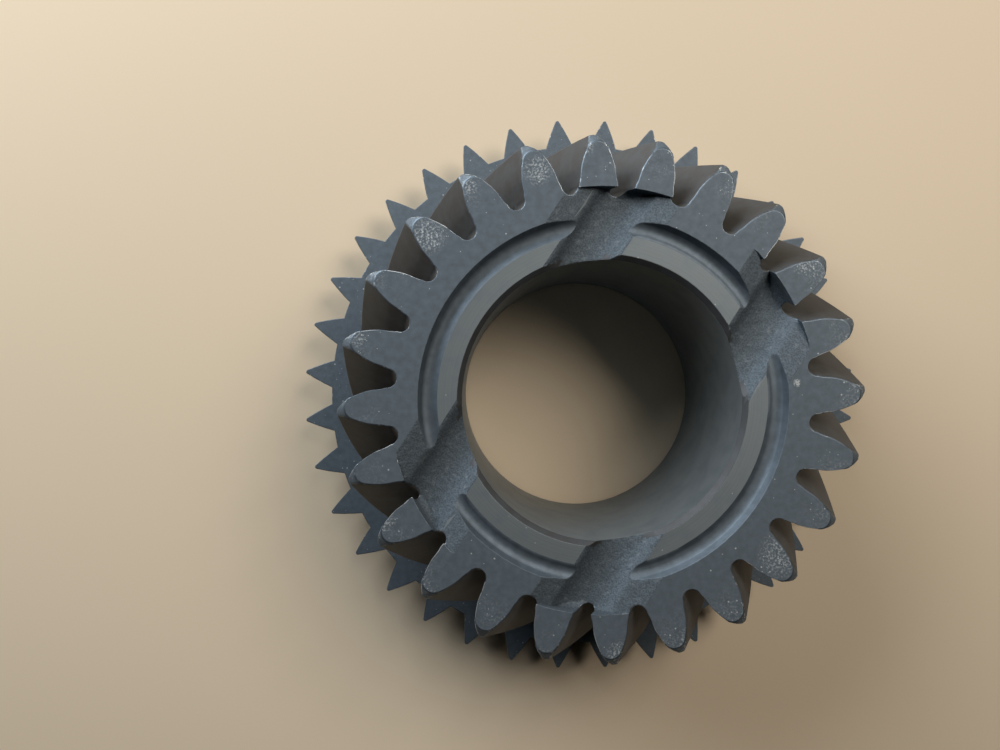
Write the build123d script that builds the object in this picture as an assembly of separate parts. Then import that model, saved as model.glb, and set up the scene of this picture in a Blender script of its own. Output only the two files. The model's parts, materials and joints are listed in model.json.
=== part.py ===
from build123d import *
from math import acos, asin, atan, cos, degrees, radians, sin, sqrt, tan
import os

# Helical speed gear with a ring of pointed dog-clutch teeth, all sizes in mm.
# Frame: +Z is the bore axis, the hub end of the cone side rests on Z = 0 and
# the centre of one helical tooth lies on +X in the upper face.

# Bore
BORE_R = 30.0
BORE_CHAMFER = 1.05

# Helical teeth (left-hand)
TEETH = 24
HELIX_ANGLE = 27.0
NORMAL_PRESSURE_ANGLE = 17.5
TOOTH_HALF_ANGLE_AT_BASE = 4.5
TIP_R = 56.35
ADDENDUM = 5.85
WHOLE_DEPTH = 12.5
TIP_CORNER_R = 0.85
ROOT_FILLET_R = 1.9
FACE_WIDTH = 32.0

# Chamfer round the tooth tips: a cone about each tooth leaves a round nose on the face
TIP_CHAMFER_WIDTH = 1.85
TIP_CHAMFER_DEPTH = 1.6
TIP_NOSE_R = 2.45
TIP_NOSE_ARC = 130.0

# Run-out groove between the helical teeth and the clutch ring
RUNOUT_WIDTH = 4.0
RUNOUT_CLEARANCE = 0.65

# Clutch ring of straight pointed teeth
DOG_TEETH = 36
DOG_PHASE = 3.6
DOG_TIP_R = 70.8
DOG_HEIGHT = 6.8
DOG_TIP_CORNER_R = 0.55
DOG_ROOT_HALF_ANGLE = 3.1
DOG_FLANK_CROWN = 0.12
DOG_ROOF_ANGLE = 35.0
DOG_RING_THICKNESS = 6.0

# Synchronizer cone and hub on the lower side
CONE_SHOULDER = 7.0
CONE_HEIGHT = 5.5
CONE_HALF_ANGLE = 7.0
CONE_EDGE_CHAMFER = 0.6
HUB_WALL = 8.0
HUB_STAND_OFF = 0.5

# Upper face: thrust ring and annular groove
THRUST_RING_DROP = 1.3
THRUST_RING_WIDTH = 5.2
GROOVE_WIDTH = 4.0
GROOVE_DEPTH = 2.0
GROOVE_WALL_LEAN = 0.65
GROOVE_INNER_RUN = 0.8
GROOVE_INNER_RISE = 0.2

# Two parallel forged oil troughs across the upper face, each with sloping
# shoulders, an S-shaped wall and a rounded end just outside the tooth roots
TROUGH_DIRECTION = 55.5
TROUGH_OFFSET = 19.9
TROUGH_END_CLEARANCE = 1.15
TROUGH_END_FILLET_R = 2.0
TROUGH_DEPTH = 4.0
TROUGH_HALF_WIDTH = 10.9
TROUGH_STEP_HALF_WIDTH = 6.3
TROUGH_WALL_HALF_WIDTH = 4.4

# How far a cutting tool reaches past the metal it removes
OVERCUT = 1.0
FINE_OVERCUT = 0.05
FLANK_STEPS = 6

# Radii that follow from the sizes above
PITCH_R = TIP_R - ADDENDUM
ROOT_R = TIP_R - WHOLE_DEPTH
RUNOUT_R = ROOT_R - RUNOUT_CLEARANCE
NOSE_CENTRE_R = TIP_R - TIP_CHAMFER_WIDTH - TIP_NOSE_R
THRUST_RING_R = BORE_R + THRUST_RING_WIDTH
GROOVE_OUTER_R = THRUST_RING_R + GROOVE_WIDTH
TROUGH_END_R = ROOT_R + TROUGH_END_CLEARANCE
HUB_END_R = BORE_R + HUB_WALL
DOG_ROOT_R = DOG_TIP_R - DOG_HEIGHT
CONE_LARGE_R = DOG_ROOT_R - CONE_SHOULDER
CONE_SMALL_R = CONE_LARGE_R - CONE_HEIGHT * tan(radians(CONE_HALF_ANGLE))

# Heights, stacked from the hub end upward
RING_BOTTOM_Z = HUB_STAND_OFF + CONE_HEIGHT
RING_TOP_Z = RING_BOTTOM_Z + DOG_RING_THICKNESS
TEETH_BOTTOM_Z = RING_TOP_Z + RUNOUT_WIDTH
HEIGHT = TEETH_BOTTOM_Z + FACE_WIDTH
THRUST_Z = HEIGHT - THRUST_RING_DROP
GROOVE_FLOOR_Z = HEIGHT - GROOVE_DEPTH

# Gear geometry
TRANSVERSE_PRESSURE_ANGLE = atan(tan(radians(NORMAL_PRESSURE_ANGLE)) / cos(radians(HELIX_ANGLE)))
BASE_R = PITCH_R * cos(TRANSVERSE_PRESSURE_ANGLE)
TWIST_PER_MM = degrees(tan(radians(HELIX_ANGLE)) / PITCH_R)
TOOTH_PITCH = 360 / TEETH
DOG_PITCH = 360 / DOG_TEETH


def polar(radius, angle_deg, z=0.0):
    return Vector(radius * cos(radians(angle_deg)), radius * sin(radians(angle_deg)), z)


def involute(angle_rad):
    return tan(angle_rad) - angle_rad


def tooth_half_angle(radius):
    return TOOTH_HALF_ANGLE_AT_BASE - degrees(involute(acos(min(1.0, BASE_R / radius))))


def blank():
    """Turned body: bore, hub, cone, clutch ring blank, gear blank and face groove."""
    groove_outer = (GROOVE_OUTER_R - GROOVE_WALL_LEAN, GROOVE_FLOOR_Z + GROOVE_WALL_LEAN)
    groove_inner = (THRUST_RING_R + GROOVE_INNER_RUN, GROOVE_FLOOR_Z + GROOVE_INNER_RISE)
    bore_top = (BORE_R, THRUST_Z - BORE_CHAMFER)
    outline = Polyline(
        bore_top,
        (BORE_R, BORE_CHAMFER),
        (BORE_R + BORE_CHAMFER, 0),
        (HUB_END_R, 0),
        (HUB_END_R, HUB_STAND_OFF),
        (CONE_SMALL_R - CONE_EDGE_CHAMFER, HUB_STAND_OFF),
        (CONE_SMALL_R, HUB_STAND_OFF + CONE_EDGE_CHAMFER),
        (CONE_LARGE_R, RING_BOTTOM_Z),
        (DOG_TIP_R + OVERCUT, RING_BOTTOM_Z),
        (DOG_TIP_R + OVERCUT, RING_TOP_Z),
        (RUNOUT_R, RING_TOP_Z),
        (RUNOUT_R, TEETH_BOTTOM_Z),
        (TIP_R - TIP_CHAMFER_WIDTH, TEETH_BOTTOM_Z),
        (TIP_R, TEETH_BOTTOM_Z + TIP_CHAMFER_DEPTH),
        (TIP_R, HEIGHT),
        (GROOVE_OUTER_R, HEIGHT),
        groove_outer,
    )
    groove_middle = ((GROOVE_OUTER_R + THRUST_RING_R) / 2, GROOVE_FLOOR_Z)
    groove_floor = ThreePointArc(groove_outer, groove_middle, groove_inner)
    thrust_ring = Polyline(
        groove_inner,
        (THRUST_RING_R, THRUST_Z),
        (BORE_R + BORE_CHAMFER, THRUST_Z),
        bore_top,
    )
    section = make_face(outline + groove_floor + thrust_ring)
    return revolve(Plane.XZ * section, Axis.Z)


def tip_corner():
    """Arc from the flank to the tip circle, for the tooth space centred on +X."""
    outer_r = TIP_R + FINE_OVERCUT
    centre_r = outer_r - TIP_CORNER_R
    string = sqrt(centre_r ** 2 - BASE_R ** 2)
    offset = degrees(TIP_CORNER_R / BASE_R)
    angle = tooth_half_angle(centre_r) - offset - TOOTH_PITCH / 2
    touch_angle = angle - degrees(acos(BASE_R / centre_r) - atan((string + TIP_CORNER_R) / BASE_R))
    start = polar(sqrt(BASE_R ** 2 + (string + TIP_CORNER_R) ** 2), touch_angle)
    centre = polar(centre_r, angle)
    end = polar(outer_r, angle)
    middle = centre + ((start - centre) + (end - centre)).normalized() * TIP_CORNER_R
    return start, middle, end


def gap_section():
    """Transverse section of one tooth space, centred on +X: involutes with rounded tips."""
    root_centre = ROOT_R + ROOT_FILLET_R
    root_start = polar(sqrt(root_centre ** 2 + ROOT_FILLET_R ** 2), -degrees(atan(ROOT_FILLET_R / root_centre)))
    corner_start, corner_middle, corner_end = tip_corner()
    first_r = BASE_R + FINE_OVERCUT
    step = (corner_start.length - first_r) / FLANK_STEPS
    radii = [first_r + step * i for i in range(FLANK_STEPS)]
    flank = [polar(r, tooth_half_angle(r) - TOOTH_PITCH / 2) for r in radii]
    outer = corner_end + corner_end.normalized() * OVERCUT
    half = [
        Spline(root_start, *flank, corner_start),
        ThreePointArc(corner_start, corner_middle, corner_end),
        Line(corner_end, outer),
    ]
    root = ThreePointArc(root_start, (ROOT_R, 0, 0), (root_start.X, -root_start.Y, 0))
    closing = Line(outer, (outer.X, -outer.Y, 0))
    return make_face(Curve() + [root, *half, *[mirror(piece, Plane.XZ) for piece in half], closing])


def helical_gap():
    """One left-hand helical tooth space running out below the teeth."""
    z_low = TEETH_BOTTOM_Z - RUNOUT_WIDTH + OVERCUT
    length = HEIGHT + OVERCUT - z_low
    low_angle = TOOTH_PITCH / 2 + TWIST_PER_MM * (HEIGHT - z_low)
    section = Pos(0, 0, z_low) * Rot(0, 0, low_angle) * gap_section()
    return Solid.extrude_linear_with_rotation(
        section.face(), (0, 0, z_low), (0, 0, length), -TWIST_PER_MM * length
    )


def tip_nose():
    """Ring sector that rounds and chamfers the upper end of the tooth on +X."""
    lean = TIP_CHAMFER_WIDTH / TIP_CHAMFER_DEPTH
    depth = TIP_CHAMFER_DEPTH + OVERCUT / 2
    reach = TIP_NOSE_R + lean * depth + OVERCUT / 2
    profile = Polyline(
        (TIP_NOSE_R - lean * OVERCUT, HEIGHT + OVERCUT),
        (TIP_NOSE_R + lean * depth, HEIGHT - depth),
        (reach, HEIGHT - depth),
        (reach, HEIGHT + OVERCUT),
        close=True,
    )
    sector = revolve(Plane.XZ * make_face(profile), Axis.Z, revolution_arc=TIP_NOSE_ARC)
    return Pos(NOSE_CENTRE_R, 0, 0) * Rot(0, 0, -TIP_NOSE_ARC / 2) * sector.solid()


def dog_tooth():
    """Outline of the clutch tooth on +X: crowned flanks that run into a rounded tip."""
    foot = polar(DOG_ROOT_R, DOG_ROOT_HALF_ANGLE)
    centre_x = DOG_TIP_R - DOG_TIP_CORNER_R
    run = centre_x - foot.X
    flank_angle = atan(foot.Y / run) - asin(DOG_TIP_CORNER_R / sqrt(run ** 2 + foot.Y ** 2))
    touch = Vector(centre_x + DOG_TIP_CORNER_R * sin(flank_angle), DOG_TIP_CORNER_R * cos(flank_angle))
    low_foot = Vector(foot.X, -foot.Y)
    low_touch = Vector(touch.X, -touch.Y)
    low_flank = SagittaArc(low_foot, low_touch, -DOG_FLANK_CROWN)
    tip = ThreePointArc(low_touch, (DOG_TIP_R, 0), touch)
    flank = SagittaArc(touch, foot, -DOG_FLANK_CROWN)
    seat = Polyline(foot, (foot.X - OVERCUT, 0), low_foot)
    return make_face(low_flank + tip + flank + seat)


def dog_gaps():
    """Everything that is milled away between and outside the clutch teeth."""
    stock = Circle(DOG_TIP_R + 2 * OVERCUT) - Circle(DOG_ROOT_R)
    spaces = stock - copies(dog_tooth(), DOG_TEETH, DOG_PHASE)
    return extrude(Pos(0, 0, RING_BOTTOM_Z - OVERCUT) * spaces, amount=DOG_RING_THICKNESS + 2 * OVERCUT)


def roof_cut():
    """Wedge between two ridges on the engaging side of the clutch teeth."""
    half_pitch = DOG_PITCH / 2
    rings = []
    for radius in ((CONE_LARGE_R + DOG_ROOT_R) / 2, DOG_TIP_R + 2 * OVERCUT):
        apex_r = radius * cos(radians(half_pitch))
        rise = radius * sin(radians(half_pitch)) * tan(radians(DOG_ROOF_ANGLE))
        rings.append(Wire.make_polygon([
            polar(radius, -half_pitch, RING_BOTTOM_Z),
            polar(radius, half_pitch, RING_BOTTOM_Z),
            polar(apex_r, 0, RING_BOTTOM_Z + rise),
        ]))
    return Solid.make_loft(rings, ruled=True)


def trough_section():
    """Cross-section of a trough, measured from the upper face."""
    shoulder_run = TROUGH_HALF_WIDTH - TROUGH_STEP_HALF_WIDTH
    outer_x = TROUGH_HALF_WIDTH + OVERCUT * shoulder_run / THRUST_RING_DROP
    wall_depth = (THRUST_RING_DROP + TROUGH_DEPTH) / 2
    floor = Spline(
        (-TROUGH_STEP_HALF_WIDTH, -THRUST_RING_DROP),
        (-TROUGH_WALL_HALF_WIDTH, -wall_depth),
        (0, -TROUGH_DEPTH),
        (TROUGH_WALL_HALF_WIDTH, -wall_depth),
        (TROUGH_STEP_HALF_WIDTH, -THRUST_RING_DROP),
        tangents=((shoulder_run, -THRUST_RING_DROP), (shoulder_run, THRUST_RING_DROP)),
    )
    shoulders = Polyline(
        (TROUGH_STEP_HALF_WIDTH, -THRUST_RING_DROP),
        (outer_x, OVERCUT),
        (-outer_x, OVERCUT),
        (-TROUGH_STEP_HALF_WIDTH, -THRUST_RING_DROP),
    )
    return make_face(floor + shoulders)


def trough(side):
    """Forged oil trough along a chord, ended by a concentric step with a rounded foot."""
    plane = Plane(
        origin=(0, 0, HEIGHT),
        x_dir=polar(1, TROUGH_DIRECTION + 90),
        z_dir=polar(1, TROUGH_DIRECTION),
    )
    profile = plane * Pos(side * TROUGH_OFFSET, 0, 0) * trough_section()
    prism = extrude(profile, amount=TROUGH_END_R + OVERCUT, both=True)
    depth = TROUGH_DEPTH + FINE_OVERCUT
    limit = Pos(0, 0, HEIGHT - depth) * Cylinder(
        TROUGH_END_R, depth + OVERCUT, align=(Align.CENTER, Align.CENTER, Align.MIN)
    )
    limit = fillet(limit.edges().group_by(Axis.Z)[0], TROUGH_END_FILLET_R)
    return (prism & limit).solid()


def copies(shape, count, phase):
    return [Rot(0, 0, phase + 360 * i / count) * shape for i in range(count)]


def gear():
    body = blank().solid()
    cutters = copies(helical_gap(), TEETH, 0)
    cutters += copies(tip_nose(), TEETH, 0)
    cutters += dog_gaps().solids()
    cutters += copies(roof_cut(), DOG_TEETH, DOG_PHASE + DOG_PITCH / 2)
    cutters += [trough(1), trough(-1)]
    return body.cut(*cutters)


os.makedirs("parts", exist_ok=True)
result = gear()
result.label = "gear"
export_step(result, "parts/gear.step")
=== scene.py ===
import json
import math

import bmesh
import bpy
from bpy.props import FloatProperty, FloatVectorProperty, PointerProperty, StringProperty
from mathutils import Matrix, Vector

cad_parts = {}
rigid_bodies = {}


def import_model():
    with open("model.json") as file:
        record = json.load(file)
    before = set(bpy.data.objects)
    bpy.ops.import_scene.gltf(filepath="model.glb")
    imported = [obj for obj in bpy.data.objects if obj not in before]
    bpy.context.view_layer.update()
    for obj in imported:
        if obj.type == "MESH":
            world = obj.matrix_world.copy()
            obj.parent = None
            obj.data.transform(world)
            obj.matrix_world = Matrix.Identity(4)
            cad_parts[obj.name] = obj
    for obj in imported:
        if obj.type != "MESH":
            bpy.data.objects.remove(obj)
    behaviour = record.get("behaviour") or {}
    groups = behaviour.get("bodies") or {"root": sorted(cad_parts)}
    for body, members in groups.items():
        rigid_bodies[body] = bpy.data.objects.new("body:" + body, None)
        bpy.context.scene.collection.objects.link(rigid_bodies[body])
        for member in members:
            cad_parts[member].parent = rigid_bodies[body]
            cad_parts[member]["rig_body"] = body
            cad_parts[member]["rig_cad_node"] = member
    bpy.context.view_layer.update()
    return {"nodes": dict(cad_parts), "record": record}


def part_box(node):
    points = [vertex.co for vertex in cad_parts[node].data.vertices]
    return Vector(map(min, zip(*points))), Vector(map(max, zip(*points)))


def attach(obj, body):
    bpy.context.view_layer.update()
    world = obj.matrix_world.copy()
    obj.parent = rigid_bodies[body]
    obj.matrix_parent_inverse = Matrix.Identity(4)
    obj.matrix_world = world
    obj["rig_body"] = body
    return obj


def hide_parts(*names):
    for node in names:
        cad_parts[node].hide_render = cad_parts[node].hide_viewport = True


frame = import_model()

bl_info = {
    "name": "Helical speed gear",
    "version": (1, 0, 0),
    "blender": (4, 5, 0),
    "location": "View3D > Sidebar > Speed gear",
    "description": "Dresses the packed speed gear: worn edges, forged troughs, coated steel and a studio",
    "category": "Object",
}

NODE = "gear"
BODY = "root"
MM = 0.001
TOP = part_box(NODE)[1].z
MOUNTS = {mount["name"]: mount for mount in frame["record"]["mounts"]}
BORE_RADIUS = MOUNTS["bore"]["dims"]["r_mm"] * MM

# where other gears knocked the upper tooth corners: x, y and reach in mm
SCUFF_PLACES = (
    (-36.1, 35.5, 4.5), (-12.9, 48.5, 3.5), (-27.5, 45.5, 2.5), (43.1, 28.5, 3.5), (54.9, 2.8, 3.5),
    (51.5, -22.8, 3.0), (36.8, -33.5, 5.5), (30.4, -46.0, 3.5), (17.2, -51.5, 4.0), (2.2, -54.0, 4.0),
    (-51.5, 14.5, 2.5), (-3.0, 53.5, 2.5), (-46.5, -24.0, 2.5),
)
# a single knock that left bare metal on the upper face: x, y and reach in mm
CHIP_PLACE = (41.0, 2.7, 1.0)

# material slots of the gear, in order; a bevel given KEPT leaves each face its slot; the last one, on the
# leading tooth edges, is partly rubbed metal and partly a painted highlight
COATED, THRUST, FORGED, FLANK, BORE, GROOVE, RUBBED, BURNISHED_AND_HIGHLIGHT = range(8)
KEPT = -1

# the copied mesh: merging and flattening of its loose triangles, and how its shading is smoothed
MERGE_DISTANCE = 0.002 * MM
FLAT_ANGLE = math.radians(0.2)
SLIVER_SIZE = 0.0003 * MM
SMOOTH_ANGLE = math.radians(40)
FACE_WEIGHT = 80

# widths of the lumps and pits that forging scale leaves in the trough floors
SCALE_LUMP = 3.0 * MM
SCALE_PIT = 0.9 * MM

# the studio: two soft windows with their distance and size in metres and their tint, and the room
LOW_WINDOW = {"distance": 0.55, "size": (0.45, 0.45), "tint": "#F4FAFF"}
HIGH_WINDOW = {"distance": 0.52, "size": (0.26, 0.25), "tint": "#FFF6EA"}
SKY_TINT = "#F2F1EE"
FLOOR_SIZE = 6.0
FRAME_WIDTH_MM = 36.0
CAMERA_NEAR = 0.01


# ---------------------------------------------------------------- properties

class GearSizes(bpy.types.PropertyGroup):
    """Radii and depths that part the gear into its differently finished zones"""

    thrust_radius: FloatProperty(
        name="Thrust ring radius", description="Outer edge of the ground thrust ring",
        default=35.2 * MM, unit="LENGTH",
    )
    thrust_drop: FloatProperty(
        name="Thrust ring drop", description="How far the thrust ring lies below the upper face",
        default=1.3 * MM, unit="LENGTH",
    )
    teeth_root_radius: FloatProperty(
        name="Root radius", description="Bottom of the helical tooth spaces",
        default=43.85 * MM, unit="LENGTH",
    )
    teeth_tip_radius: FloatProperty(
        name="Tip radius", description="Outside of the helical teeth",
        default=56.35 * MM, unit="LENGTH",
    )
    ring_top: FloatProperty(
        name="Clutch ring top", description="Height of the clutch ring's upper face",
        default=12.0 * MM, unit="LENGTH",
    )
    groove_radius: FloatProperty(
        name="Groove radius", description="Outer edge of the annular groove",
        default=39.2 * MM, unit="LENGTH",
    )
    trough_direction: FloatProperty(
        name="Trough direction", description="Direction of the forged troughs in plan",
        default=math.radians(55.5), subtype="ANGLE",
    )
    trough_offset: FloatProperty(
        name="Trough offset", description="Distance of a trough's centre line from the axis",
        default=19.9 * MM, unit="LENGTH",
    )
    trough_half_width: FloatProperty(
        name="Trough half width", description="Half the width of a trough at the upper face",
        default=10.9 * MM, unit="LENGTH",
    )
    trough_end_radius: FloatProperty(
        name="Trough end radius", description="Radius of the step that ends a trough",
        default=45.0 * MM, unit="LENGTH",
    )
    edge_width: FloatProperty(
        name="Broken edge", description="Width of the broken edges",
        default=0.22 * MM, unit="LENGTH",
    )
    turned_edge_width: FloatProperty(
        name="Broken turned edge", description="Width of the broken edges inside the teeth",
        default=0.12 * MM, unit="LENGTH",
    )
    edge_angle: FloatProperty(
        name="Edge angle", description="Edges sharper than this are broken",
        default=math.radians(32), subtype="ANGLE",
    )
    forged_cell: FloatProperty(
        name="Forged cell", description="Mesh spacing on the forged trough floors",
        default=0.45 * MM, unit="LENGTH",
    )
    forged_relief: FloatProperty(
        name="Forged relief", description="Depth of the scale pits on the forged floors",
        default=0.18 * MM, unit="LENGTH",
    )


class SteelColours(bpy.types.PropertyGroup):
    """Colours of the steel's finishes, written as sRGB hex values"""

    coat: StringProperty(name="Phosphate coat", description="Grey coat on turned faces", default="#646F79")
    coat_dark: StringProperty(name="Dark coat", description="Oil-dark parts of the coat", default="#59636B")
    ground: StringProperty(name="Ground steel", description="Thrust ring", default="#798083")
    forged: StringProperty(name="Forged skin", description="Trough floors", default="#616C75")
    forged_dark: StringProperty(
        name="Forging scale", description="Dark scale in the troughs", default="#4D565D",
    )
    flank: StringProperty(name="Flank", description="Shaved tooth flanks", default="#4C4C4D")
    bore: StringProperty(name="Bore", description="Honed bore wall", default="#7A8286")
    # worn also brightens the leading tooth edges, where it is partly a painted highlight
    worn: StringProperty(name="Worn edge", description="Bright steel on rubbed edges", default="#C4CACD")


class StudioSettings(bpy.types.PropertyGroup):
    """Floor, lamps and camera"""

    floor: StringProperty(name="Floor", description="Colour of the board under the gear", default="#D8C7AE")
    low_power: FloatProperty(
        name="Low lamp", description="Power of the low lamp", default=4.3, unit="POWER",
    )
    low_azimuth: FloatProperty(
        name="Low lamp azimuth", description="Direction of the low lamp from +X",
        default=math.radians(128), subtype="ANGLE",
    )
    low_elevation: FloatProperty(
        name="Low lamp elevation", description="Height of the low lamp over the floor",
        default=math.radians(23), subtype="ANGLE",
    )
    high_power: FloatProperty(
        name="High lamp", description="Power of the high lamp", default=1.5, unit="POWER",
    )
    high_azimuth: FloatProperty(
        name="High lamp azimuth", description="Direction of the high lamp from +X",
        default=math.radians(41), subtype="ANGLE",
    )
    high_elevation: FloatProperty(
        name="High lamp elevation", description="Height of the high lamp over the floor",
        default=math.radians(55), subtype="ANGLE",
    )
    sky: FloatProperty(name="Sky", description="Strength of the even light all round", default=0.003)
    sweep: FloatProperty(
        name="Sweep", description="Brightness of the backdrop that the camera sees", default=0.8,
    )
    sweep_near: FloatProperty(
        name="Sweep start", description="Distance at which the floor starts to turn into the backdrop",
        default=0.24, unit="LENGTH",
    )
    sweep_far: FloatProperty(
        name="Sweep end", description="Distance at which the floor has turned into the backdrop",
        default=0.42, unit="LENGTH",
    )
    lens: FloatProperty(
        name="Lens", description="Focal length on a 36 mm frame", default=27.0, unit="CAMERA",
    )
    camera_place: FloatVectorProperty(
        name="Camera place", description="Where the camera stands, from the bore axis on the floor",
        size=3, default=(-26.03 * MM, 7.31 * MM, 204.79 * MM), subtype="TRANSLATION",
    )
    camera_turn: FloatVectorProperty(
        name="Camera turn", description="Pitch, yaw and roll of the camera",
        size=3, subtype="EULER",
        default=(math.radians(-0.431), math.radians(-1.548), math.radians(-1.506)),
    )


# ---------------------------------------------------------------- mesh helpers

def deselect_all():
    """Deselects every object, because an operator acts on all that is selected."""
    for thing in bpy.context.view_layer.objects:
        thing.select_set(False)


def make_active(piece):
    """Selects one piece alone."""
    deselect_all()
    piece.select_set(True)
    bpy.context.view_layer.objects.active = piece


def open_for_editing(piece, mode="FACE"):
    """Opens one piece in edit mode, with nothing on it selected."""
    make_active(piece)
    bpy.ops.object.mode_set(mode="EDIT")
    bpy.ops.mesh.select_mode(type=mode)
    bpy.ops.mesh.select_all(action="DESELECT")


def close_editing():
    """Goes back to object mode, which writes the edits to the mesh."""
    bpy.ops.object.mode_set(mode="OBJECT")


def select_faces(piece, test, within=None):
    """Selects the faces whose centre and normal pass the test, in edit mode."""
    mesh = bmesh.from_edit_mesh(piece.data)
    for face in mesh.faces:
        asked = within is None or face.material_index == within
        face.select_set(asked and test(face.calc_center_median(), face.normal))
    bmesh.update_edit_mesh(piece.data)


def select_material(piece, index):
    """Selects the faces of one material slot, in edit mode."""
    bpy.ops.mesh.select_all(action="DESELECT")
    piece.active_material_index = index
    bpy.ops.object.material_slot_select()


def cut_cells(piece, index, direction, spacing, near, far):
    """Cuts one material's faces by evenly spaced planes, near to far either side of the axis."""
    open_for_editing(piece)
    select_material(piece, index)
    bpy.ops.mesh.hide(unselected=True)
    for step in range(int(near / spacing), int(far / spacing) + 1):
        for side in (step, -step):
            bpy.ops.mesh.select_all(action="SELECT")
            bpy.ops.mesh.bisect(plane_co=direction * (side * spacing), plane_no=direction)
    bpy.ops.mesh.reveal(select=False)
    close_editing()


def select_convex_edges(piece, angle, inner, outer):
    """Selects the outward edges between two radii that turn by more than the angle, in edit mode."""
    mesh = bmesh.from_edit_mesh(piece.data)
    for edge in mesh.edges:
        middle = (edge.verts[0].co + edge.verts[1].co) / 2
        sharp = edge.is_manifold and edge.calc_face_angle_signed() > angle
        edge.select_set(sharp and inner <= math.hypot(middle.x, middle.y) < outer)
    bmesh.update_edit_mesh(piece.data)


def snap_strays(piece, solid, depth):
    """Brings vertices that a bevel threw outside the solid, or deeper than depth, onto its surface."""
    proud = 0.002 * MM
    for vertex in piece.data.vertices:
        found, place, normal, _ = solid.closest_point_on_mesh(vertex.co)
        away = vertex.co - place
        if found and (away.dot(normal) > proud or away.length > depth):
            vertex.co = place


def clean_slivers(piece):
    """Merges doubled vertices and removes faces with no area."""
    open_for_editing(piece, "VERT")
    bpy.ops.mesh.select_all(action="SELECT")
    bpy.ops.mesh.remove_doubles(threshold=SLIVER_SIZE)
    bpy.ops.mesh.dissolve_degenerate(threshold=SLIVER_SIZE)
    close_editing()


def apply_modifier(piece, kind, **settings):
    """Adds one modifier with its settings and applies it."""
    modifier = piece.modifiers.new(kind.lower(), kind)
    for key, value in settings.items():
        setattr(modifier, key, value)
    make_active(piece)
    bpy.ops.object.modifier_apply(modifier=modifier.name)


def clouds(name, size):
    """A cloud pattern for displacement, its lumps as wide as size; it has no seed."""
    pattern = bpy.data.textures.new(name, "CLOUDS")
    pattern.noise_scale = size
    pattern.noise_depth = 3
    return pattern


def copy_of_node(name, piece_name):
    """A copy of a CAD node as a piece of its own, with its loose triangles merged."""
    make_active(frame["nodes"][name])
    bpy.ops.object.duplicate()
    piece = bpy.context.active_object
    piece.name = piece_name
    piece.data.name = piece_name
    piece.parent = None
    # the copy is a piece of the scene, so it drops the marks of a CAD node
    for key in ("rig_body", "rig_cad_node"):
        del piece[key]
    piece.data.materials.clear()
    open_for_editing(piece, "VERT")
    bpy.ops.mesh.select_all(action="SELECT")
    bpy.ops.mesh.remove_doubles(threshold=MERGE_DISTANCE)
    bpy.ops.mesh.customdata_custom_splitnormals_clear()
    bpy.ops.mesh.dissolve_limited(angle_limit=FLAT_ANGLE)
    close_editing()
    return piece


# ---------------------------------------------------------------- materials

def srgb(text):
    """An sRGB hex value as linear RGBA."""
    channels = [int(text[i:i + 2], 16) / 255 for i in (1, 3, 5)]
    linear = [c / 12.92 if c <= 0.04045 else ((c + 0.055) / 1.055) ** 2.4 for c in channels]
    return (*linear, 1.0)


def node(tree, kind, inputs=None, output=None, **settings):
    """Adds one node with its settings, values and links; gives its named or first output."""
    made = tree.nodes.new(kind)
    for key, value in settings.items():
        setattr(made, key, value)
    for key, value in (inputs or {}).items():
        if isinstance(value, bpy.types.NodeSocket):
            tree.links.new(value, made.inputs[key])
        else:
            made.inputs[key].default_value = value
    if output:
        return made.outputs[output]
    return next((socket for socket in made.outputs if socket.enabled), None)


def start_material(name):
    """An empty material, its node tree, and the place on the piece that its patterns follow."""
    material = bpy.data.materials.new(name)
    material.use_nodes = True
    tree = material.node_tree
    tree.nodes.clear()
    return material, tree, node(tree, "ShaderNodeTexCoord", output="Object")


def finish_steel(tree, place, colour, roughness, metallic, relief, relief_width):
    """Ends a steel material with its shader; the relief's depth and width are in metres."""
    height = node(tree, "ShaderNodeTexNoise", {
        "Vector": place, "Scale": 1 / relief_width, "Detail": 3.0,
    })
    bump = node(tree, "ShaderNodeBump", {"Height": height, "Distance": relief, "Strength": 1.0})
    shader = node(tree, "ShaderNodeBsdfPrincipled", {
        "Base Color": colour, "Metallic": metallic, "Roughness": roughness, "Normal": bump,
    })
    node(tree, "ShaderNodeOutputMaterial", {"Surface": shader})


def radius_of(tree, place):
    """Distance from the gear's axis."""
    flat = node(tree, "ShaderNodeVectorMath", {0: place, 1: (1, 1, 0)}, operation="MULTIPLY")
    return node(tree, "ShaderNodeVectorMath", {0: flat}, operation="LENGTH")


def specks(tree, place, spacing, size, share):
    """Small round spots: 1 on a spot, on the given share of cells spacing metres wide."""
    solid_part = 0.6
    rim = size / spacing
    cells = node(tree, "ShaderNodeTexVoronoi", {"Vector": place, "Scale": 1 / spacing})
    near = node(tree, "ShaderNodeMapRange", {
        "Value": cells, "From Min": rim, "From Max": rim * solid_part,
    })
    lucky = node(tree, "ShaderNodeSeparateColor", {"Color": cells.node.outputs["Color"]}, "Red")
    chosen = node(tree, "ShaderNodeMath", {0: lucky, 1: share}, operation="LESS_THAN")
    return node(tree, "ShaderNodeMath", {0: near, 1: chosen}, operation="MULTIPLY")


def patch(tree, place, x, y, reach):
    """1 round a point of the upper face, falling softly to 0 at the reach; all in mm."""
    solid_part = 0.4
    centre = (x * MM, y * MM, TOP)
    away = node(tree, "ShaderNodeVectorMath", {0: place, 1: centre}, operation="DISTANCE")
    return node(tree, "ShaderNodeMapRange", {
        "Value": away, "From Min": reach * MM, "From Max": reach * MM * solid_part,
    })


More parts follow.
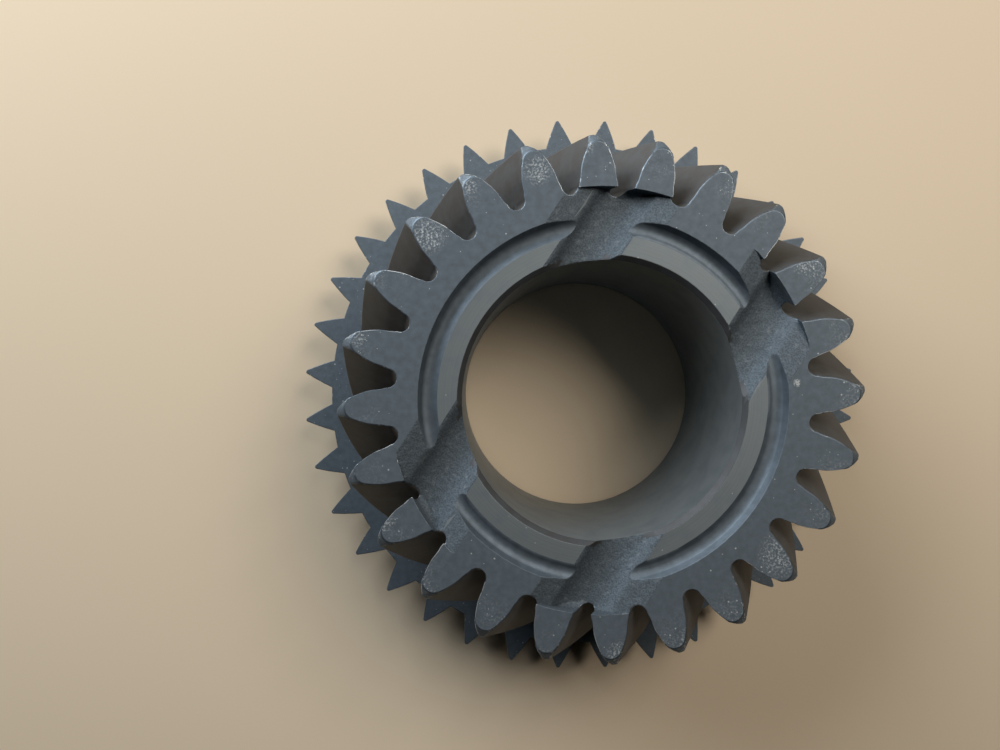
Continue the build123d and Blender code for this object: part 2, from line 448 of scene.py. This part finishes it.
def tooth_wear(tree, place):
    """How far the coat is chafed: on the tooth tips in patches, and most at the knocked corners."""
    wear_begins = 46 * MM
    wear_is_full = 55 * MM
    teeth_end = 57 * MM
    ring_begins = 59 * MM
    scuff_width = 7 * MM
    radius = radius_of(tree, place)
    near_tip = node(tree, "ShaderNodeMapRange", {
        "Value": radius, "From Min": wear_begins, "From Max": wear_is_full,
    })
    not_ring = node(tree, "ShaderNodeMapRange", {
        "Value": radius, "From Min": teeth_end, "From Max": ring_begins, "To Min": 1.0, "To Max": 0.2,
    })
    on_teeth = node(tree, "ShaderNodeMath", {0: near_tip, 1: not_ring}, operation="MULTIPLY")
    scuffs = node(tree, "ShaderNodeTexNoise", {
        "Vector": place, "Scale": 1 / scuff_width, "Detail": 2.0,
    })
    scuffed = node(tree, "ShaderNodeMapRange", {
        "Value": scuffs, "From Min": 0.45, "From Max": 0.62, "To Min": 0.05, "To Max": 0.5,
    })
    wear = node(tree, "ShaderNodeMath", {0: on_teeth, 1: scuffed}, operation="MULTIPLY")
    for x, y, reach in SCUFF_PLACES:
        knocked = patch(tree, place, x, y, reach)
        wear = node(tree, "ShaderNodeMath", {0: wear, 1: knocked}, operation="MAXIMUM")
    return wear


def phosphate_coat(colours):
    """Manganese phosphate on turned steel, grown in a hot bath and oiled.

    Its crystals make the faces matt slate grey, darker where oil stays, and chafed to bright
    specks at the tooth tips. Real crystals are about 0.01 mm wide. They, and the specks between
    them, are drawn up to 0.6 mm apart, so that they show. The coat hides part of the metal, so
    it is less metallic than bare steel.
    """
    oil_width = 1.5 * MM
    crystal_width = 0.5 * MM
    haze_strength = 0.6
    speck_strength = 0.75
    specks_everywhere = 0.003
    specks_by_wear = 0.17
    material, tree, place = start_material("phosphated_steel")
    oil = node(tree, "ShaderNodeTexNoise", {
        "Vector": place, "Scale": 1 / oil_width, "Detail": 6.0,
    })
    patches = node(tree, "ShaderNodeMapRange", {"Value": oil, "From Min": 0.3, "From Max": 0.7})
    grey = node(tree, "ShaderNodeMix", {
        "Factor": patches, "A": srgb(colours.coat_dark), "B": srgb(colours.coat),
    }, data_type="RGBA")

    # haze: the tops of the crystals are rubbed, most where the wear is heaviest
    wear = tooth_wear(tree, place)
    crystals = node(tree, "ShaderNodeTexNoise", {
        "Vector": place, "Scale": 1 / crystal_width, "Detail": 8.0,
    })
    crests = node(tree, "ShaderNodeMapRange", {
        "Value": crystals, "From Min": 0.47, "From Max": 0.64,
    })
    rubbed = node(tree, "ShaderNodeMath", {0: crests, 1: wear}, operation="MULTIPLY")
    haze = node(tree, "ShaderNodeMath", {0: rubbed, 1: haze_strength}, operation="MULTIPLY")
    hazed = node(tree, "ShaderNodeMix", {
        "Factor": haze, "A": grey, "B": srgb(colours.worn),
    }, data_type="RGBA")

    # specks: bare metal in two grades, a few everywhere and many on the worn teeth
    worn_share = node(tree, "ShaderNodeMath", {0: wear, 1: specks_by_wear}, operation="MULTIPLY")
    share = node(tree, "ShaderNodeMath", {0: worn_share, 1: specks_everywhere}, operation="ADD")
    coarse = specks(tree, place, spacing=0.6 * MM, size=0.22 * MM, share=share)
    fine = specks(tree, place, spacing=0.35 * MM, size=0.13 * MM, share=share)
    chafed = node(tree, "ShaderNodeMath", {0: coarse, 1: fine}, operation="MAXIMUM")

    # the chip: one ragged spot of bare metal
    spot = patch(tree, place, *CHIP_PLACE)
    ragged = node(tree, "ShaderNodeMapRange", {
        "Value": crystals, "From Min": 0.44, "From Max": 0.5,
    })
    chip = node(tree, "ShaderNodeMath", {0: spot, 1: ragged}, operation="MULTIPLY")
    bare = node(tree, "ShaderNodeMath", {0: chafed, 1: chip}, operation="MAXIMUM")
    bright = node(tree, "ShaderNodeMath", {0: bare, 1: speck_strength}, operation="MULTIPLY")
    colour = node(tree, "ShaderNodeMix", {
        "Factor": bright, "A": hazed, "B": srgb(colours.worn),
    }, data_type="RGBA")
    finish_steel(
        tree, place, colour, roughness=0.68, metallic=0.6, relief=0.02 * MM, relief_width=0.35 * MM,
    )
    return material


def ground_steel(colours):
    """Face-ground steel with a thin phosphate film.

    The wheel leaves fine rings about the bore, seen as faint streaks, and oil leaves soft stains.
    Real grinding lines are about 0.02 mm apart. They are drawn 0.4 mm apart, so that they show.
    """
    line_spacing = 0.4 * MM
    stain_width = 4 * MM
    speck_strength = 0.6
    material, tree, place = start_material("ground_steel")
    lines = node(tree, "ShaderNodeTexNoise", {
        "W": radius_of(tree, place), "Scale": 1 / line_spacing,
    }, noise_dimensions="1D")
    streaks = node(tree, "ShaderNodeMapRange", {
        "Value": lines, "From Min": 0.3, "From Max": 0.7, "To Min": 0.1, "To Max": 0.3,
    })
    clean = node(tree, "ShaderNodeMix", {
        "Factor": streaks, "A": srgb(colours.ground), "B": srgb(colours.coat_dark),
    }, data_type="RGBA")
    oil = node(tree, "ShaderNodeTexNoise", {
        "Vector": place, "Scale": 1 / stain_width, "Detail": 3.0,
    })
    stains = node(tree, "ShaderNodeMapRange", {
        "Value": oil, "From Min": 0.5, "From Max": 0.8, "To Min": 0.0, "To Max": 0.5,
    })
    stained = node(tree, "ShaderNodeMix", {
        "Factor": stains, "A": clean, "B": srgb(colours.coat),
    }, data_type="RGBA")
    spots = specks(tree, place, spacing=0.9 * MM, size=0.16 * MM, share=0.02)
    chafed = node(tree, "ShaderNodeMath", {0: spots, 1: speck_strength}, operation="MULTIPLY")
    colour = node(tree, "ShaderNodeMix", {
        "Factor": chafed, "A": stained, "B": srgb(colours.worn),
    }, data_type="RGBA")
    finish_steel(
        tree, place, colour, roughness=0.6, metallic=0.65, relief=0.004 * MM, relief_width=0.3 * MM,
    )
    return material


def forged_skin(colours):
    """Hot-forged steel left as it came from the die, under the phosphate.

    Scale pressed into it leaves dark pits 0.35 mm wide and broader lumps, rubbed a little lighter.
    """
    pit_width = 0.35 * MM
    lump_width = 1.2 * MM
    lump_strength = 0.15
    material, tree, place = start_material("forged_skin")
    scale = node(tree, "ShaderNodeTexNoise", {
        "Vector": place, "Scale": 1 / pit_width, "Detail": 6.0,
    })
    pits = node(tree, "ShaderNodeMapRange", {"Value": scale, "From Min": 0.38, "From Max": 0.62})
    skin = node(tree, "ShaderNodeMix", {
        "Factor": pits, "A": srgb(colours.forged_dark), "B": srgb(colours.forged),
    }, data_type="RGBA")
    swell = node(tree, "ShaderNodeTexNoise", {
        "Vector": place, "Scale": 1 / lump_width, "Detail": 6.0,
    })
    crests = node(tree, "ShaderNodeMapRange", {
        "Value": swell, "From Min": 0.58, "From Max": 0.75,
    })
    lumps = node(tree, "ShaderNodeMath", {0: crests, 1: lump_strength}, operation="MULTIPLY")
    colour = node(tree, "ShaderNodeMix", {
        "Factor": lumps, "A": skin, "B": srgb(colours.worn),
    }, data_type="RGBA")
    finish_steel(
        tree, place, colour, roughness=0.7, metallic=0.6, relief=0.08 * MM, relief_width=0.35 * MM,
    )
    return material


def turned_groove(colours):
    """Turned steel under the phosphate, in the annular groove.

    Nothing rubs it, so it stays smoother and darker than the faces, with soft patches of oil.
    """
    film_width = 2 * MM
    material, tree, place = start_material("turned_groove")
    oil = node(tree, "ShaderNodeTexNoise", {
        "Vector": place, "Scale": 1 / film_width, "Detail": 4.0,
    })
    film = node(tree, "ShaderNodeMapRange", {"Value": oil, "From Min": 0.35, "From Max": 0.65})
    colour = node(tree, "ShaderNodeMix", {
        "Factor": film, "A": srgb(colours.coat_dark), "B": srgb(colours.coat),
    }, data_type="RGBA")
    finish_steel(
        tree, place, colour, roughness=0.58, metallic=0.7, relief=0.006 * MM, relief_width=0.3 * MM,
    )
    return material


def shaved_flank(colours):
    """Shaved steel on the tooth flanks: smoother than the faces, and darkened by oil."""
    film_width = 3 * MM
    material, tree, place = start_material("shaved_flank")
    oil = node(tree, "ShaderNodeTexNoise", {
        "Vector": place, "Scale": 1 / film_width, "Detail": 4.0,
    })
    film = node(tree, "ShaderNodeMapRange", {
        "Value": oil, "From Min": 0.35, "From Max": 0.65, "To Min": 0.0, "To Max": 0.3,
    })
    colour = node(tree, "ShaderNodeMix", {
        "Factor": film, "A": srgb(colours.flank), "B": srgb(colours.coat_dark),
    }, data_type="RGBA")
    finish_steel(
        tree, place, colour, roughness=0.62, metallic=0.65, relief=0.008 * MM, relief_width=0.4 * MM,
    )
    return material


def honed_bore(colours):
    """Honed steel on the bore wall: an even, slightly glossy grey with a faint film of oil."""
    film_width = 5 * MM
    material, tree, place = start_material("honed_bore")
    oil = node(tree, "ShaderNodeTexNoise", {
        "Vector": place, "Scale": 1 / film_width, "Detail": 3.0,
    })
    film = node(tree, "ShaderNodeMapRange", {
        "Value": oil, "From Min": 0.4, "From Max": 0.7, "To Min": 0.0, "To Max": 0.4,
    })
    colour = node(tree, "ShaderNodeMix", {
        "Factor": film, "A": srgb(colours.bore), "B": srgb(colours.coat_dark),
    }, data_type="RGBA")
    finish_steel(
        tree, place, colour, roughness=0.5, metallic=0.5, relief=0.004 * MM, relief_width=0.3 * MM,
    )
    return material


def rubbed_edge(colours, name, share):
    """Steel on broken edges, where handling rubs the phosphate off.

    Bright metal shows here and there, mostly on the teeth; share is 0 for little and 1 for much. With a
    share of 1, on the leading tooth edges, the bright metal is partly rubbed and partly a painted
    highlight.
    """
    rub_width = 1.2 * MM
    stretch_width = 8 * MM
    turned_end = 42 * MM
    teeth_begin = 45 * MM
    more_rubs = 0.25 * share
    material, tree, place = start_material(name)
    rubs = node(tree, "ShaderNodeTexNoise", {
        "Vector": place, "Scale": 1 / rub_width, "Detail": 4.0,
    })
    fine = node(tree, "ShaderNodeMapRange", {
        "Value": rubs, "From Min": 0.6 - more_rubs, "From Max": 0.75 - more_rubs,
    })
    stretches = node(tree, "ShaderNodeTexNoise", {
        "Vector": place, "Scale": 1 / stretch_width, "Detail": 1.0,
    })
    stretch = node(tree, "ShaderNodeMapRange", {
        "Value": stretches, "From Min": 0.42, "From Max": 0.6,
    })
    on_teeth = node(tree, "ShaderNodeMapRange", {
        "Value": radius_of(tree, place), "From Min": turned_end, "From Max": teeth_begin,
        "To Min": 0.25, "To Max": 1.0,
    })
    broken = node(tree, "ShaderNodeMath", {0: fine, 1: stretch}, operation="MULTIPLY")
    rubbed = node(tree, "ShaderNodeMath", {0: broken, 1: on_teeth}, operation="MULTIPLY")
    colour = node(tree, "ShaderNodeMix", {
        "Factor": rubbed, "A": srgb(colours.coat), "B": srgb(colours.worn),
    }, data_type="RGBA")
    finish_steel(
        tree, place, colour, roughness=0.5, metallic=0.85, relief=0.01 * MM, relief_width=0.3 * MM,
    )
    return material


def plain_floor(name, colour, strength, near, far):
    """Matt pale board; past the lamps' reach the camera sees it evenly lit, as a studio sweep."""
    material, tree, place = start_material(name)
    board = node(tree, "ShaderNodeBsdfPrincipled", {
        "Base Color": srgb(colour), "Roughness": 0.9, "Specular IOR Level": 0.2,
    })
    sweep = node(tree, "ShaderNodeEmission", {"Color": srgb(colour), "Strength": strength})
    distant = node(tree, "ShaderNodeMapRange", {
        "Value": radius_of(tree, place), "From Min": near, "From Max": far,
    })
    seen = node(tree, "ShaderNodeLightPath", output="Is Camera Ray")
    share = node(tree, "ShaderNodeMath", {0: seen, 1: distant}, operation="MULTIPLY")
    mixed = node(tree, "ShaderNodeMixShader", {"Fac": share, 1: board, 2: sweep})
    node(tree, "ShaderNodeOutputMaterial", {"Surface": mixed})
    return material


# ---------------------------------------------------------------- operators

class OBJECT_OT_dress_gear(bpy.types.Operator):
    """Copies the gear's solid, breaks its edges and gives every zone its finish"""

    bl_idname = "object.dress_gear"
    bl_label = "Gear"

    def execute(self, context):
        sizes = context.scene.gear_sizes
        colours = context.scene.steel_colours
        piece = copy_of_node(NODE, "speed_gear")
        # in the order of the material slots
        for material in (
            phosphate_coat(colours),
            ground_steel(colours),
            forged_skin(colours),
            shaved_flank(colours),
            honed_bore(colours),
            turned_groove(colours),
            rubbed_edge(colours, "rubbed_edge", share=0.1),
            # the leading tooth edges: bright metal, partly rubbed and partly a painted highlight
            rubbed_edge(colours, "burnished_edge_and_highlight", share=1.0),
        ):
            piece.data.materials.append(material)
        self.assign_zones(piece, sizes)
        self.break_edges(piece, sizes)
        self.forge_troughs(piece, sizes)
        clean_slivers(piece)
        make_active(piece)
        bpy.ops.object.shade_smooth_by_angle(angle=SMOOTH_ANGLE)
        apply_modifier(piece, "WEIGHTED_NORMAL", mode="FACE_AREA", keep_sharp=True, weight=FACE_WEIGHT)
        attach(piece, BODY)
        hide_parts(NODE)
        return {"FINISHED"}

    def assign(self, piece, index, test, within=None):
        """Gives a material slot to the faces that pass the test, or to those within one slot."""
        open_for_editing(piece)
        select_faces(piece, test, within)
        piece.active_material_index = index
        bpy.ops.object.material_slot_assign()
        close_editing()

    def assign_zones(self, piece, sizes):
        """Gives every face the finish of its zone, found by its place and normal."""
        across = Vector((-math.sin(sizes.trough_direction), math.cos(sizes.trough_direction), 0))
        small = 0.05 * MM
        bore_chamfer = 1.0 * MM
        groove_floor = TOP - 2.2 * MM
        trough_floor = TOP - 4.2 * MM
        # limits on a unit normal's part along z, away from the axis, and round it
        level = 0.9
        upright = 0.5
        flank_lean = 0.6
        flank_outward = -0.5
        turned_skew = 0.03

        def is_thrust(c, n):
            return n.z > level and abs(c.z - (TOP - sizes.thrust_drop)) < small

        def is_bore(c, n):
            return abs(n.z) < upright and math.hypot(c.x, c.y) < BORE_RADIUS + small

        def is_bore_chamfer(c, n):
            near_bore = math.hypot(c.x, c.y) < BORE_RADIUS + bore_chamfer
            return abs(n.z) < level and near_bore and not is_bore(c, n)

        def is_flank(c, n):
            outward = Vector((c.x, c.y, 0)).normalized().dot(n)
            radius = math.hypot(c.x, c.y)
            return (c.z > sizes.ring_top + small and abs(n.z) < flank_lean and outward > flank_outward
                    and sizes.teeth_root_radius - small < radius < sizes.teeth_tip_radius - small)

        def is_groove(c, n):
            radius = math.hypot(c.x, c.y)
            turned = abs(Vector((-c.y, c.x, 0)).normalized().dot(n)) < turned_skew
            low = groove_floor < c.z < TOP - small
            return turned and low and sizes.thrust_radius - small < radius < sizes.groove_radius + small

        def is_forged(c, n):
            off = abs(abs(c.dot(across)) - sizes.trough_offset)
            return (trough_floor < c.z < TOP - small and off < sizes.trough_half_width
                    and math.hypot(c.x, c.y) < sizes.trough_end_radius + small
                    and not (is_thrust(c, n) or is_bore(c, n) or is_flank(c, n) or is_groove(c, n)))

        # a later zone takes over faces of an earlier one; the bore's chamfers are as dark as the flanks
        zones = (
            (GROOVE, is_groove),
            (THRUST, is_thrust),
            (BORE, is_bore),
            (FLANK, is_flank),
            (FORGED, is_forged),
            (FLANK, is_bore_chamfer),
        )
        for index, test in zones:
            self.assign(piece, index, test)

    def break_edges(self, piece, sizes):
        """Bevels the turned edges finely and the teeth wider; the leading sides are made bright, partly
        rubbed metal and partly a painted highlight.
        """
        teeth_begin = sizes.groove_radius + 1.0 * MM
        turned = (sizes.turned_edge_width, 0.0, teeth_begin, KEPT)
        toothed = (sizes.edge_width, teeth_begin, math.inf, RUBBED)
        for width, inner, outer, material in (turned, toothed):
            open_for_editing(piece, "EDGE")
            select_convex_edges(piece, sizes.edge_angle, inner, outer)
            bpy.ops.mesh.bevel(
                offset=width, segments=2, profile=0.5, affect="EDGES",
                clamp_overlap=False, loop_slide=False, material=material,
            )
            close_editing()
        deepest_bevel = 0.6 * sizes.edge_width
        snap_strays(piece, frame["nodes"][NODE], deepest_bevel)
        leading = 0.25
        rubbed_depth = 1.0 * MM
        root_gap = 1.0 * MM

        def is_leading(c, n):
            clockwise = Vector((c.y, -c.x, 0)).normalized().dot(n)
            return (clockwise > leading and c.z > TOP - rubbed_depth
                    and math.hypot(c.x, c.y) > sizes.teeth_root_radius + root_gap)

        # the leading tooth edges are painted bright: partly rubbed metal, partly a painted highlight
        self.assign(piece, BURNISHED_AND_HIGHLIGHT, is_leading, RUBBED)

    def forge_troughs(self, piece, sizes):
        """Cuts the trough floors into small cells and roughens them like forging scale.

        Scale is finer than the cells, so its pits are drawn coarser than real ones, to show.
        """
        along = Vector((math.cos(sizes.trough_direction), math.sin(sizes.trough_direction), 0))
        across = Vector((-along.y, along.x, 0))
        inner = sizes.trough_offset - sizes.trough_half_width
        outer = sizes.trough_offset + sizes.trough_half_width
        cut_cells(piece, FORGED, across, sizes.forged_cell, inner, outer)
        cut_cells(piece, FORGED, along, sizes.forged_cell, 0.0, sizes.trough_end_radius)
        open_for_editing(piece)
        select_material(piece, FORGED)
        bpy.ops.mesh.select_less()
        bpy.ops.object.vertex_group_assign_new()
        close_editing()
        group = piece.vertex_groups.active.name
        for size in (SCALE_LUMP, SCALE_PIT):
            apply_modifier(
                piece, "DISPLACE", texture=clouds("forging", size), texture_coords="LOCAL",
                direction="Z", mid_level=0.5, strength=sizes.forged_relief, vertex_group=group,
            )
        for vertex in piece.data.vertices:
            vertex.co.z = min(vertex.co.z, TOP)


class OBJECT_OT_gear_studio(bpy.types.Operator):
    """Lays the floor, hangs the two soft lamps and stands the camera over the gear"""

    bl_idname = "object.gear_studio"
    bl_label = "Studio"

    def execute(self, context):
        studio = context.scene.gear_studio
        deselect_all()
        bpy.ops.mesh.primitive_plane_add(size=FLOOR_SIZE, location=(0, 0, 0))
        floor = context.active_object
        floor.name = "floor"
        floor.data.materials.append(plain_floor(
            "floor_board", studio.floor, studio.sweep, studio.sweep_near, studio.sweep_far,
        ))
        self.light(context, studio)
        self.camera(context, studio)
        return {"FINISHED"}

    def light(self, context, studio):
        """Lights the gear from two soft windows; the camera sees the room as the pale sweep."""
        world = bpy.data.worlds.new("dim_room")
        context.scene.world = world
        world.use_nodes = True
        tree = world.node_tree
        tree.nodes.clear()
        sky = node(tree, "ShaderNodeBackground", {"Color": srgb(SKY_TINT), "Strength": studio.sky})
        sweep = node(tree, "ShaderNodeBackground", {
            "Color": srgb(studio.floor), "Strength": studio.sweep,
        })
        seen = node(tree, "ShaderNodeLightPath", output="Is Camera Ray")
        mixed = node(tree, "ShaderNodeMixShader", {"Fac": seen, 1: sky, 2: sweep})
        node(tree, "ShaderNodeOutputWorld", {"Surface": mixed})
        self.lamp(
            "low_window", studio.low_azimuth, studio.low_elevation, studio.low_power, **LOW_WINDOW,
        )
        self.lamp(
            "high_window", studio.high_azimuth, studio.high_elevation, studio.high_power,
            **HIGH_WINDOW,
        )

    def lamp(self, name, azimuth, elevation, power, distance, size, tint):
        """A soft rectangular lamp that faces the gear."""
        flat = math.cos(elevation)
        towards = Vector((math.cos(azimuth) * flat, math.sin(azimuth) * flat, math.sin(elevation)))
        deselect_all()
        bpy.ops.object.light_add(type="AREA", location=distance * towards)
        lamp = bpy.context.active_object
        lamp.name = name
        lamp.data.shape = "RECTANGLE"
        lamp.data.size, lamp.data.size_y = size
        lamp.data.energy = power
        lamp.data.color = srgb(tint)[:3]
        lamp.rotation_euler = (-distance * towards).to_track_quat("-Z", "Y").to_euler()

    def camera(self, context, studio):
        """Stands the camera over the gear, looking almost straight down."""
        deselect_all()
        bpy.ops.object.camera_add(location=studio.camera_place, rotation=studio.camera_turn)
        camera = context.active_object
        camera.data.sensor_width = FRAME_WIDTH_MM
        camera.data.lens = studio.lens
        camera.data.clip_start = CAMERA_NEAR
        context.scene.camera = camera
        context.scene.view_settings.view_transform = "Standard"


class VIEW3D_PT_speed_gear(bpy.types.Panel):
    """Sizes, colours and steps of the speed gear"""

    bl_label = "Speed gear"
    bl_idname = "VIEW3D_PT_speed_gear"
    bl_space_type = "VIEW_3D"
    bl_region_type = "UI"
    bl_category = "Speed gear"

    def draw(self, context):
        layout = self.layout
        for group in (context.scene.gear_sizes, context.scene.steel_colours, context.scene.gear_studio):
            box = layout.box()
            for key in group.__annotations__:
                box.prop(group, key)
        for operator in (OBJECT_OT_dress_gear, OBJECT_OT_gear_studio):
            layout.operator(operator.bl_idname)


CLASSES = (
    GearSizes,
    SteelColours,
    StudioSettings,
    OBJECT_OT_dress_gear,
    OBJECT_OT_gear_studio,
    VIEW3D_PT_speed_gear,
)


def register():
    for cls in CLASSES:
        bpy.utils.register_class(cls)
    bpy.types.Scene.gear_sizes = PointerProperty(type=GearSizes)
    bpy.types.Scene.steel_colours = PointerProperty(type=SteelColours)
    bpy.types.Scene.gear_studio = PointerProperty(type=StudioSettings)


def unregister():
    del bpy.types.Scene.gear_studio
    del bpy.types.Scene.steel_colours
    del bpy.types.Scene.gear_sizes
    for cls in reversed(CLASSES):
        bpy.utils.unregister_class(cls)


def main():
    register()
    bpy.ops.object.gear_studio()
    bpy.ops.object.dress_gear()
    bpy.context.view_layer.update()


if __name__ == "__main__":
    main()
